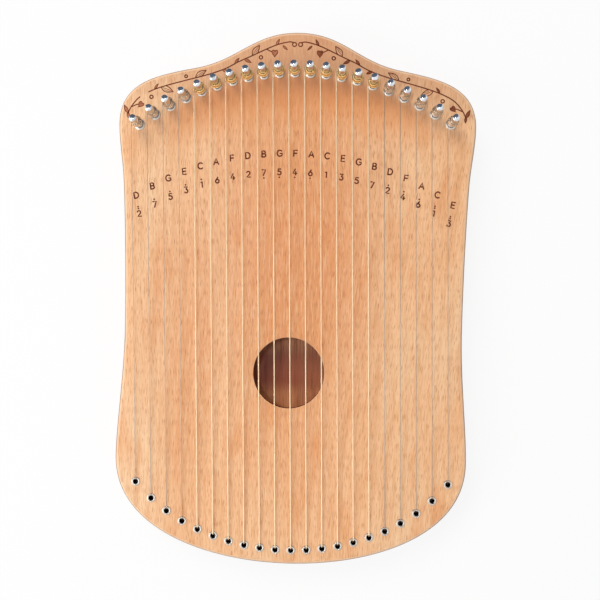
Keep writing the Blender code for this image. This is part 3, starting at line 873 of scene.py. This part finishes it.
def add_rail(name, side, node, materials):
    """A bent side rail between the two blocks: side is 1 on the right and -1 on the left."""
    low = TAIL_BLOCK_END + GLUE_LINE
    high = PIN_BLOCK_END - GLUE_LINE
    outer = clipped(right_outline(), low, high)
    inner = clipped([p for p in inset(body_outline(), RAIL_WIDTH) if p.x > 0], low, high)
    points = [Vector((side * p.x, p.y)) for p in outer[::-1] + inner[::-1]]
    if side < 0:
        points.reverse()
    board(name, eased_rim(points), [], materials["edge"], node)


# Metal fittings


def spun(profile, sides):
    """A turned piece from (radius, height) pairs round its own axis, the profile closed on itself."""
    shape = Shape()
    loops = shape.skin([(circle(Vector((0, 0)), radius, sides), height) for radius, height in profile])
    shape.bridge(loops[-1], loops[0])
    return shape


def rolled_flange(outer, bore, height, wall, depth):
    """The section of a pressed ring: a rolled flange on the wood and a tube into its hole. The flange is a
    little fuller than a half round, and its edges stand off the wood by a share of its height."""
    middle = (outer + bore) / 2
    half = (outer - bore) / 2
    edge = 0.15
    fullness = 0.6
    profile = [(bore + wall, -depth), (bore + wall, 0.0), (outer, 0.0)]
    for step in range(13):
        angle = pi * step / 12
        lift = edge + (1 - edge) * max(0.0, sin(angle)) ** fullness
        profile.append((middle + half * cos(angle), lift * height))
    return profile + [(bore, -depth)]


def add_eyelets(materials):
    profile = rolled_flange(EYELET_RADIUS, EYELET_BORE, EYELET_HEIGHT, EYELET_WALL, EYELET_DEPTH)
    mesh = spun(profile, EYELET_SIDES).mesh("pressed_eyelet", 50)
    for name in ("pressed", "tube"):
        mesh.materials.append(materials[name])
    # Below the wood the tube takes the nearly black painted shade
    for face in mesh.polygons:
        face.material_index = int(face.center.z < 0)
    add_row("eyelet", mesh, materials["pressed"], eyelet_centers(), BODY_DEPTH)


def add_bushings(materials):
    """A dished ring round the foot of each pin, on a short sleeve in the pin's hole."""
    inner = BUSHING_BORE
    outer = BUSHING_RADIUS
    high = BUSHING_HEIGHT
    # The thin sleeve and the underside, the low rounded rim, and the dish that rises to a lip at the bore
    sleeve = inner + 0.02 * MM
    profile = [(sleeve, -BUSHING_DEPTH), (sleeve, 0.0), (outer, 0.0)]
    for step in range(7):
        angle = pi / 2 * step / 6
        profile.append((outer - 0.2 * MM * (1 - cos(angle)), 0.1 * high + 0.35 * high * sin(angle)))
    profile += [(inner + 0.25 * MM, 0.92 * high), (inner + 0.12 * MM, high), (inner, 0.9 * high)]
    profile.append((inner, -BUSHING_DEPTH))
    mesh = spun(profile, BUSHING_SIDES).mesh("pin_bushing", 50)
    add_row("pin_bushing", mesh, materials["pressed"], pin_centers(), BODY_DEPTH)


def squared_section(width, radius, shrink=1.0):
    """A round bar's section with four flats, the given width apart; 10 points to a quarter."""
    half = min(width / 2, radius * 0.999)
    # Half the angle that a flat takes up, with a little left for the flat and for the round corner
    reach = max(min(acos(half / radius), radians(44)), radians(2))
    points = []
    for quarter in range(4):
        middle = quarter * pi / 2
        for step in range(5):
            angle = reach * (step / 2 - 1)
            points.append(shrink * min(radius, half / cos(angle)) * direction(middle + angle))
        for step in range(1, 6):
            angle = reach + (pi / 2 - 2 * reach) * step / 6
            corner = min(radius, half / max(abs(cos(angle)), abs(sin(angle))))
            points.append(shrink * corner * direction(middle + angle))
    return points


def threaded_ring(height):
    """A round section cut by the thread: the groove's place round the pin moves on with the height."""
    points = []
    for point in squared_section(2 * PIN_RADIUS, PIN_RADIUS):
        turn = (height / THREAD_PITCH + point.angle_signed(Vector((1, 0))) / (2 * pi)) % 1
        points.append(point * (1 - THREAD_DEPTH / PIN_RADIUS * (1 - abs(2 * turn - 1))))
    return points


def pin_rings():
    """A tuning pin about its own axis, from its tip in the wood, with height 0 at the soundboard."""
    full = 2 * PIN_RADIUS
    rings = [(squared_section(full, PIN_RADIUS, 0.8), -PIN_SEAT)]
    # The thread, with four rings to a turn
    rise = THREAD_PITCH / 4
    for step in range(1, ceil((PIN_SEAT + THREAD_TOP) / rise)):
        height = -PIN_SEAT + step * rise
        rings.append((threaded_ring(height), height))
    # The plain round shank
    for height in (THREAD_TOP + 0.5 * MM, 6 * MM, 9 * MM, PIN_SHOULDER - 0.3 * MM):
        rings.append((squared_section(full, PIN_RADIUS), height))
    # The head, which tapers square, and the rounded edge below its dome
    rim = PIN_STAND - PIN_DOME_RADIUS * (1 - cos(PIN_DOME_ANGLE))
    for step in range(9):
        t = step / 8
        width = full + (PIN_HEAD_TIP_WIDTH - full) * t
        height = PIN_SHOULDER + (rim - 0.3 * MM - PIN_SHOULDER) * t
        rings.append((squared_section(width, PIN_RADIUS), height))
    rings.append((squared_section(PIN_HEAD_TIP_WIDTH, PIN_RADIUS, 0.97), rim - 0.12 * MM))
    for step in range(9):
        angle = PIN_DOME_ANGLE * (1 - step / 9)
        shrink = PIN_DOME_RADIUS * sin(angle) / PIN_RADIUS
        height = PIN_STAND - PIN_DOME_RADIUS * (1 - cos(angle))
        rings.append((squared_section(PIN_HEAD_TIP_WIDTH, PIN_RADIUS, shrink), height))
    return rings


def bored_pin():
    """The pin's mesh with its string eye bored across it along X."""
    shape = Shape()
    loops = shape.skin(pin_rings())
    shape.fill([loops[0]])
    shape.fill([loops[-1]])
    blank = bpy.data.objects.new("pin_blank", shape.mesh("pin_blank"))
    drill = Shape()
    reach = 2 * PIN_RADIUS
    drill.tube([Vector((x, 0, PIN_EYE_HEIGHT)) for x in (-reach, 0, reach)], [PIN_EYE_RADIUS] * 3, 24)
    cutter = bpy.data.objects.new("pin_drill", drill.mesh("pin_drill"))
    for tool in (blank, cutter):
        bpy.context.scene.collection.objects.link(tool)
    cut = blank.modifiers.new("eye", "BOOLEAN")
    cut.operation = "DIFFERENCE"
    cut.solver = "EXACT"
    cut.object = cutter
    bored = bpy.data.meshes.new_from_object(blank.evaluated_get(bpy.context.evaluated_depsgraph_get()))
    bored.name = "zither_pin"
    for tool in (blank, cutter):
        bpy.data.objects.remove(tool, do_unlink=True)
    bored.shade_smooth()
    bored.set_sharp_from_angle(angle=radians(24))
    return bored


def winding_steps(number):
    """Each string is wound a little differently, so the pin heads do not all point the same way."""
    return WINDING_STEPS + number * 5 % 6


def winding_end_angle(number):
    return pi - 2 * pi * winding_steps(number) / WINDING_POINTS


def add_pins(materials):
    mesh = bored_pin()
    for number, center in enumerate(pin_centers(), 1):
        add_piece(
            f"zither_pin_{number:02d}",
            mesh,
            materials["nickel"],
            f"pin_{number:02d}",
            [f"tuning_pin_{number:02d}"],
            place=(*center, BODY_DEPTH),
            turn=winding_end_angle(number),
        )


# Strings


def is_plain(number):
    return number <= PLAIN_LEFT or number > STRING_COUNT - PLAIN_RIGHT


class Winding:
    """One string's turns round its pin, counted in eighths of a turn from the pin's left side inwards.

    The layers lie over one another, each wound back over the one below it, and the one on the pin ends at
    the eye."""

    def __init__(self, number, center):
        plain = is_plain(number)
        self.center = center
        self.wire = PLAIN_STRING_RADIUS if plain else WOUND_STRING_RADIUS
        extra = PLAIN_EXTRA_TURNS if plain else WOUND_EXTRA_TURNS
        self.steps = winding_steps(number) + extra * WINDING_POINTS
        self.eye = BODY_DEPTH + PIN_EYE_HEIGHT
        lengths = [turns * WINDING_POINTS for turns in (PLAIN_LAYERS if plain else WOUND_LAYERS)]
        lengths.append(self.steps - sum(lengths))
        top = self.eye - WINDING_TOP_DROP - self.wire
        bottom = self.eye - WINDING_DROP
        self.layers = []
        first = 0
        height = self.eye - LEAVING_DROP
        for level in reversed(range(len(lengths))):
            length = lengths[-1 - level]
            rising = level % 2 == 0
            highest = self.eye - OUTER_LAYER_TOP_DROP if level else top
            goal = highest if rising else bottom
            radius = PIN_RADIUS + STRING_CLEARANCE + self.wire * (1 + 2 * level)
            self.layers.append((first, length, radius, height, goal))
            first += length
            height = goal

    def at(self, step, spread=0.0):
        """The place on the winding a number of eighth turns from its start."""
        angle = pi - 2 * pi * step / WINDING_POINTS
        number = max(i for i, layer in enumerate(self.layers) if layer[0] <= step + 1e-6)
        first, length, radius, start, goal = self.layers[number]
        done = step - first
        if number:
            above = self.layers[number - 1][2]
            radius += (above - radius) * max(0.0, 1 - done)
        height = start + (goal - start) * done / length
        return Vector((*(self.center + (radius + spread) * direction(angle)), height))

    def turns(self, first, last, spread=0.0):
        count = int((last - first) * COIL_SMOOTHNESS)
        return [self.at(first + (last - first) * i / count, spread) for i in range(count + 1)]

    def through_eye(self):
        """From the end of the coil across the pin's eye to the cut end beyond it."""
        inward = -direction(pi - 2 * pi * self.steps / WINDING_POINTS)
        points = []
        for reach in (-PIN_RADIUS * 0.8, 0.0, PIN_RADIUS, PIN_RADIUS + STUB_LENGTH):
            points.append(Vector((*(self.center + reach * inward), self.eye)))
        return points


def strand(name, path, wire):
    shape = Shape()
    shape.tube(path, [wire] * len(path), STRING_SIDES)
    return shape.mesh(name)


def eyelet_bend(center, leaving, wire):
    """A quarter turn over the eyelet's rolled edge on the side of the pin, from level to straight down."""
    way = (leaving.xy - center).normalized()
    roll = 0.45 * EYELET_HEIGHT
    middle = BODY_DEPTH + 0.6 * EYELET_HEIGHT
    points = []
    for step in range(7):
        arm = (wire + roll) * direction(pi / 2 + pi / 2 * step / 6)
        side = center + (EYELET_BORE + roll + arm.x) * way
        points.append(Vector((*side, middle + arm.y)))
    return points


def add_string(number, pin, eyelet, materials):
    """The free length and half a turn on the pin stay with the body; the coil above turns with the pin."""
    winding = Winding(number, pin)
    wire = winding.wire
    kind, slot = ("steel", "plain_wire") if is_plain(number) else ("bronze", "wound_wire")
    start = winding.at(0)
    bend = eyelet_bend(eyelet, start, wire)
    # A hair wider than the coil, which starts a quarter turn earlier
    run = winding.turns(0, WINDING_POINTS / 2, 0.01 * MM)[::-1]
    run += [start.lerp(bend[0], t / 24) for t in range(1, 24)] + bend
    # Below the bend the string moves from the eyelet's edge to the middle of the hole: share, height
    foot = ((0.8, BODY_DEPTH - 3 * MM), (0.4, BODY_DEPTH - 10 * MM), (0.0, BALL_POCKET_DEPTH - BALL_SEAT_GAP))
    run += [Vector((*eyelet.lerp(bend[-1].xy, share), height)) for share, height in foot]
    mesh = strand(f"string_run_{number:02d}", run, wire)
    add_piece(mesh.name, mesh, materials[kind], "body", [f"string_{number:02d}"])
    coil = winding.turns(WINDING_POINTS / 4, winding.steps) + winding.through_eye()
    mesh = strand(f"string_coil_{number:02d}", coil, wire)
    # The coil takes the wire's copy with the painted reflection of the wood
    add_piece(mesh.name, mesh, materials[kind + "_bend"], f"pin_{number:02d}")


def add_ball_ends(materials):
    """A turned barrel in each pocket at the back, with a waist that the string's loop lies in."""
    half = BALL_HALF_LENGTH
    profile = []
    for step in range(17):
        t = step / 8 - 1
        waist = 0.35 * MM * (1 - min(1, abs(t) * 1.6) ** 2)
        chamfer = 0.3 * MM * max(0.0, abs(t) - 0.8) / 0.2
        profile.append((BALL_RADIUS - 0.1 * MM - waist - chamfer, half * t))
    shape = spun([(BALL_BORE, -half)] + profile + [(BALL_BORE, half)], BALL_SIDES)
    shape.vertices = [(z, x, y) for x, y, z in shape.vertices]
    loop = [BALL_RADIUS * 0.86 * direction(2 * pi * i / 24) for i in range(25)]
    shape.tube([Vector((0, p.x, p.y)) for p in loop], [BALL_LOOP_RADIUS] * 25, 8)
    middle = BALL_POCKET_DEPTH - BALL_SEAT_GAP - BALL_RADIUS
    add_row("ball_end", shape.mesh("ball_end"), materials["brass"], eyelet_centers(), middle)


# Burned ornament and scale


class Burn(Shape):
    """Marks on the soundboard: flat strokes and filled shapes, a hair above the wood and sunk into it."""

    def __init__(self):
        super().__init__()
        self.top = BODY_DEPTH + BURN_HEIGHT

    def press(self, first):
        """Flattens the vertices added since first; every mark is a hair higher than the last one."""
        self.top += BURN_STEP
        for i in range(first, len(self.vertices)):
            x, y, z = self.vertices[i]
            self.vertices[i] = (x, y, min(max(z, BODY_DEPTH - BURN_SINK), self.top))

    def stroke(self, points, width):
        """A line whose ends run on by a third of its width and narrow to about half of it."""
        first = len(self.vertices)
        path = [Vector((p.x, p.y, BODY_DEPTH)) for p in points]
        ahead = (path[0] - path[1]).normalized() * width
        behind = (path[-1] - path[-2]).normalized() * width
        radii = [0.55 * width / 2] + [width / 2] * len(path) + [0.55 * width / 2]
        self.tube([path[0] + 0.35 * ahead] + path + [path[-1] + 0.35 * behind], radii, 10)
        self.press(first)

    def outline(self, points, width):
        self.stroke(points + [points[0]], width)

    def ring(self, center, radius, width):
        """A small round eye of even width."""
        first = len(self.vertices)
        loops = []
        for step in range(28):
            way = direction(2 * pi * step / 28)
            spot = Vector((*(center + radius * way), BODY_DEPTH))
            section = []
            for corner in range(8):
                angle = 2 * pi * corner / 8
                out = Vector((*way, 0)) * cos(angle) + Vector((0, 0, 1)) * sin(angle)
                section.append(spot + out * width / 2)
            loops.append(self.loop(section))
        for one, other in zip(loops, loops[1:] + loops[:1]):
            self.bridge(one, other)
        self.press(first)

    def solid(self, outline):
        """A filled flat mark."""
        first = len(self.vertices)
        loops = self.skin([(outline, BODY_DEPTH - BURN_SINK), (outline, BODY_DEPTH + 1 * MM)])
        self.press(first)
        self.fill([loops[0]])
        self.fill([loops[1]])


def arc(x, y, radius, start, end, wide=None):
    """Points on an arc of a letter, with angles in degrees."""
    wide = radius if wide is None else wide
    count = max(3, ceil(abs(end - start) / 15))
    angles = [radians(start + (end - start) * i / count) for i in range(count + 1)]
    return [(x + wide * cos(a), y + radius * sin(a)) for a in angles]


def glyph_strokes():
    """Letters and numerals of a plain round sans, one unit high, as strokes."""
    bowl_five = arc(0.27, 0.31, 0.31, 118, -150)
    return {
        "A": [[(0, 0), (0.4, 1), (0.8, 0)], [(0.14, 0.32), (0.66, 0.32)]],
        "B": [
            [(0, 0), (0, 1), (0.32, 1)] + arc(0.32, 0.76, 0.24, 90, -90) + [(0, 0.52)],
            [(0.32, 0.52)] + arc(0.36, 0.26, 0.26, 90, -90) + [(0, 0)],
        ],
        "C": [arc(0.45, 0.5, 0.5, 48, 312, 0.45)],
        "D": [[(0, 0), (0, 1), (0.28, 1)] + arc(0.28, 0.5, 0.5, 90, -90, 0.46) + [(0, 0)]],
        "E": [[(0.56, 1), (0, 1), (0, 0), (0.56, 0)], [(0, 0.51), (0.5, 0.51)]],
        "F": [[(0.56, 1), (0, 1), (0, 0)], [(0, 0.5), (0.5, 0.5)]],
        "G": [arc(0.45, 0.5, 0.5, 48, 325, 0.45) + [(0.84, 0.46), (0.52, 0.46)]],
        "1": [[(0, 0.87), (0.2, 1), (0.2, 0)]],
        "2": [arc(0.29, 0.71, 0.29, 160, -38) + [(0.02, 0), (0.6, 0)]],
        "3": [[(0.04, 1), (0.54, 1), (0.27, 0.6)] + arc(0.27, 0.3, 0.3, 90, -150)],
        "4": [[(0.4, 1), (0, 0.27), (0.68, 0.27)], [(0.48, 0.55), (0.48, 0)]],
        "5": [[(0.52, 1), (0.1, 1), (0.06, 0.57)] + bowl_five],
        "6": [[(0.42, 1), (0.05, 0.44)], arc(0.3, 0.31, 0.31, 150, 510)],
        "7": [[(0, 1), (0.6, 1), (0.2, 0)]],
    }


def write(burn, glyph, height, center, lean):
    """Strokes of one letter or numeral round its own centre, leaning by an angle."""
    turn = Matrix.Rotation(lean, 2)
    width = max(x for stroke in glyph for x, _ in stroke)
    for stroke in glyph:
        points = [center + turn @ (Vector((x - width / 2, y - 0.5)) * height) for x, y in stroke]
        burn.stroke(points, LETTER_STROKE)


def scale_notes():
    """(string number, letter, numeral, octave) of the white-key scale, from the middle string outwards.

    The lowest note is the middle string, and the others lie left and right of it in turn."""
    notes = []
    middle = (STRING_COUNT + 1) // 2
    spots = [middle]
    for step in range(1, middle):
        spots += [middle - step, middle + step]
    for note, number in enumerate(spots):
        notes.append((number, "FGABCDE"[note % 7], "4567123"[note % 7], (note + 3) // 7 - 1))
    return notes


def add_scale(materials):
    glyphs = glyph_strokes()
    letters = Burn()
    numerals = Burn()
    row_turn = Matrix.Rotation(SCALE_ROW_TURN, 2)
    for number, letter, numeral, octave in scale_notes():
        t = row_places()[number - 1]
        bow = SCALE_ROW_BOW * t * t + SCALE_ROW_END_BOW * t**4
        spot = row_turn @ Vector((SCALE_ROW_SHIFT + SCALE_ROW_REACH * t, SCALE_ROW_TOP - bow))
        lean = SCALE_ROW_TURN - LABEL_LEAN * t
        down = Matrix.Rotation(lean, 2) @ Vector((0, -1))
        write(letters, glyphs[letter], LETTER_HEIGHT, spot, lean)
        low_spot = spot + NUMERAL_DROP * down
        write(numerals, glyphs[numeral], NUMERAL_HEIGHT, low_spot, lean)
        way, gap = (-down, OCTAVE_DOT_ABOVE) if octave > 0 else (down, OCTAVE_DOT_BELOW)
        for dot in range(abs(octave)):
            away = NUMERAL_HEIGHT / 2 + gap + OCTAVE_DOT_STEP * dot
            numerals.solid(circle(low_spot + away * way, OCTAVE_DOT, 16))
    add_piece("scale_letters", letters.mesh("scale_letters"), materials["burned"], "body")
    add_piece("scale_numerals", numerals.mesh("scale_numerals"), materials["burned"], "body")


def curve_through(points, steps):
    """A smooth line through the points."""
    ends = [2 * points[0] - points[1]] + points + [2 * points[-1] - points[-2]]
    line = []
    for a, b, c, d in zip(ends, ends[1:], ends[2:], ends[3:]):
        for step in range(steps):
            t = step / steps
            square = (2 * a - 5 * b + 4 * c - d) * t * t
            cube = (3 * b - a - 3 * c + d) * t**3
            line.append(0.5 * (2 * b + (c - a) * t + square + cube))
    return line + [points[-1]]


def leaf_outline(base, tip, width, steps=12):
    """A pointed leaf, widest a little nearer to its base."""
    along = tip - base
    across = Vector((-along.y, along.x)).normalized()
    shares = [step / steps for step in range(1, steps)]
    one_side = [(t, sin(pi * t**0.8) ** 1.15 * width / 2) for t in shares]
    points = [base] + [base + along * t + across * w for t, w in one_side]
    return points + [tip] + [base + along * t - across * w for t, w in one_side[::-1]]


def heart_outline(top, tip, width, steps=28):
    """A heart whose point is the tip and whose cleft is near the top."""
    along = tip - top
    across = Vector((-along.y, along.x)).normalized()
    points = []
    for step in range(steps):
        a = 2 * pi * step / steps
        x = sin(a) ** 3
        y = (13 * cos(a) - 5 * cos(2 * a) - 2 * cos(3 * a) - cos(4 * a)) / 17
        points.append(top + along * (0.7 - y) / 1.7 + across * x * width / 2)
    return points


def vein_leaf(burn, base, tip, width):
    """A leaf drawn as an outline with a midrib and a line beside it, as shares of its length and width."""
    burn.outline(leaf_outline(base, tip, width), VEINED_LEAF_STROKE)
    along = tip - base
    across = Vector((-along.y, along.x)).normalized()
    midrib = ((0.12, 0.0), (0.5, 0.05), (0.85, 0.0))
    side_vein = ((0.3, -0.24), (0.7, -0.2))
    for vein, stroke in ((midrib, MIDRIB_STROKE), (side_vein, SIDE_VEIN_STROKE)):
        burn.stroke([base + along * far + across * width * out for far, out in vein], stroke)


def add_vine(materials):
    """The same leafy vine on both sides of the middle, given as (distance out, height) in mm for one side."""
    stem = [
        (3.0, 178.4), (6.2, 178.7), (14.0, 176.7), (22.0, 173.3), (31.0, 169.0), (41.0, 164.4),
        (50.0, 159.6), (62.0, 155.3), (76.0, 151.5), (93.0, 146.7), (102.0, 143.3), (109.5, 139.1),
        (115.0, 132.8), (117.6, 127.5),
    ]
    solid_leaves = [
        ((117.6, 127.9), (120.4, 133.4), 2.3), ((117.6, 128.4), (117.2, 124.3), 1.7),
        ((99.2, 145.0), (96.6, 148.6), 1.3), ((52.0, 158.9), (48.0, 157.3), 1.7),
        ((43.4, 163.4), (40.4, 167.2), 1.5), ((36.7, 166.3), (31.9, 164.0), 1.9),
        ((14.8, 176.2), (12.6, 180.7), 1.5), ((10.1, 176.1), (6.9, 173.1), 1.2),
    ]
    veined_leaves = [
        ((94.6, 146.2), (86.0, 143.0), 4.0), ((70.6, 153.6), (63.2, 158.4), 3.6),
        ((31.2, 169.4), (26.3, 176.2), 3.8),
    ]
    rings = [(2.1, 177.0, 1.35), (25.3, 167.8, 1.15), (77.3, 153.9, 0.95), (101.3, 139.2, 1.15)]
    hearts = [((15.7, 173.0), (15.7, 168.0), 4.2), ((107.4, 135.3), (110.4, 131.9), 3.6)]
    twigs = [[(21.3, 173.4), (18.4, 172.0), (16.4, 171.9)], [(115.4, 132.0), (111.4, 133.8), (109.2, 134.0)]]
    burn = Burn()
    shading = Burn()
    for side in (-1, 1):
        def on_body(pair):
            return Vector((VINE_MIDDLE + side * pair[0] * MM, pair[1] * MM))

        line = curve_through([on_body(p) for p in stem], 6)
        if side > 0:
            burn.stroke(line, STEM_WIDTH)
        else:
            # The left stem is broken where it passes the corner
            burn.stroke([p for p in line if VINE_MIDDLE - p.x < STEM_GAP[0]], STEM_WIDTH)
            burn.stroke([p for p in line if VINE_MIDDLE - p.x > STEM_GAP[1]], STEM_WIDTH)
        for twig in twigs:
            burn.stroke(curve_through([on_body(p) for p in twig], 4), TWIG_WIDTH)
        for base, tip, width in solid_leaves:
            outline = leaf_outline(on_body(base), on_body(tip), width * MM)
            shading.solid(outline)
            burn.outline(outline, SOLID_LEAF_STROKE)
        for base, tip, width in veined_leaves:
            vein_leaf(burn, on_body(base), on_body(tip), width * MM)
        for out, height, radius in rings:
            burn.ring(on_body((out, height)), radius * MM, STEM_WIDTH)
        for top, tip, width in hearts:
            outline = heart_outline(on_body(top), on_body(tip), width * MM)
            shading.solid(outline)
            burn.outline(outline, SOLID_LEAF_STROKE)
    add_piece("leaf_vine", burn.mesh("leaf_vine"), materials["burned"], "body")
    mesh = shading.mesh("leaf_shading")
    for name in ("scorched", "charred"):
        mesh.materials.append(materials[name])
    for face in mesh.polygons:
        face.material_index = int(face.center.x > 0)
    add_piece("leaf_shading", mesh, materials["scorched"], "body")


# Putting it together


def refinish_braces(materials):
    for node in ("brace_upper", "brace_lower"):
        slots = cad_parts[node].data.materials
        slots.clear()
        slots.append(materials["edge"])


def main():
    add_camera()
    add_studio()
    materials = make_materials()
    add_soundboard(materials)
    add_back_board(materials)
    add_pin_block(materials)
    add_tail_block(materials)
    add_rail("rail_left", -1, "side_left", materials)
    add_rail("rail_right", 1, "side_right", materials)
    refinish_braces(materials)
    add_eyelets(materials)
    add_bushings(materials)
    add_pins(materials)
    for number, (pin, eyelet) in enumerate(zip(pin_centers(), eyelet_centers()), 1):
        add_string(number, pin, eyelet, materials)
    add_ball_ends(materials)
    add_scale(materials)
    add_vine(materials)


main()
